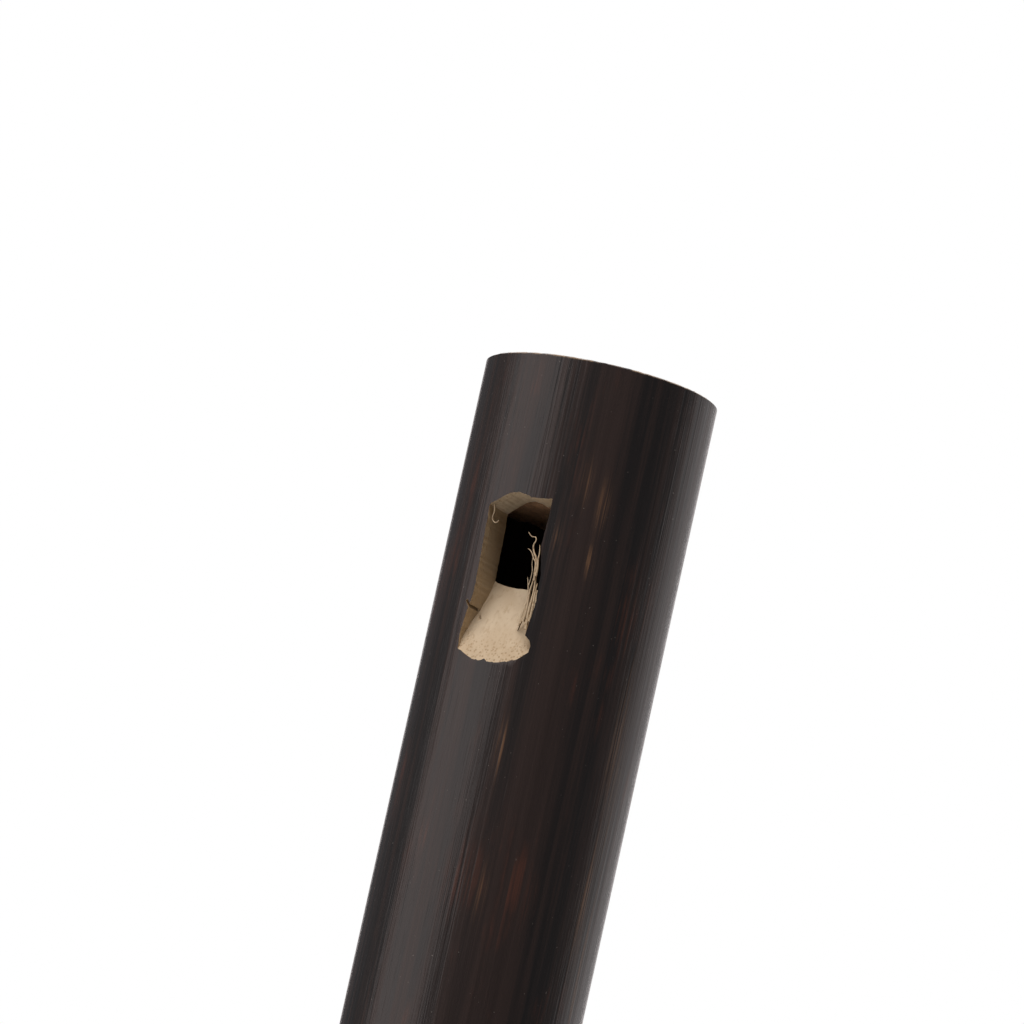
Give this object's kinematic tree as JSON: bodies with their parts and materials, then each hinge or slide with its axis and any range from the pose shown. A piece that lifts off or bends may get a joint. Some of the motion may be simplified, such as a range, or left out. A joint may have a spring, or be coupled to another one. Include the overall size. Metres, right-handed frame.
{
  "type": "bamboo duct flute",
  "caption": "Vertical end-blown duct flute of dark stained bamboo, with a hand-cut window and ramped lip, a wooden block in its head and a front row of finger holes.",
  "frame": {"origin": "centre of the foot end's plane, with the flute standing as it is played", "axes": "+Z along the bore from foot to head; the window and the finger holes face -Y; +X to their right"},
  "size_m": [0.0248, 0.0248, 0.43],
  "materials": {
    "stained_bamboo": "dark brown-black stain under semi-gloss lacquer, with lengthwise grain and rubbed streaks",
    "block_wood": "raw unlacquered wood, end grain showing at both ends",
    "raw_bamboo": "freshly cut pale bamboo, fibres and bundle ends showing"
  },
  "bodies": {
    "root": {"bamboo_culm": "stained_bamboo", "fipple_block": "block_wood"}
  },
  "joints": []
}
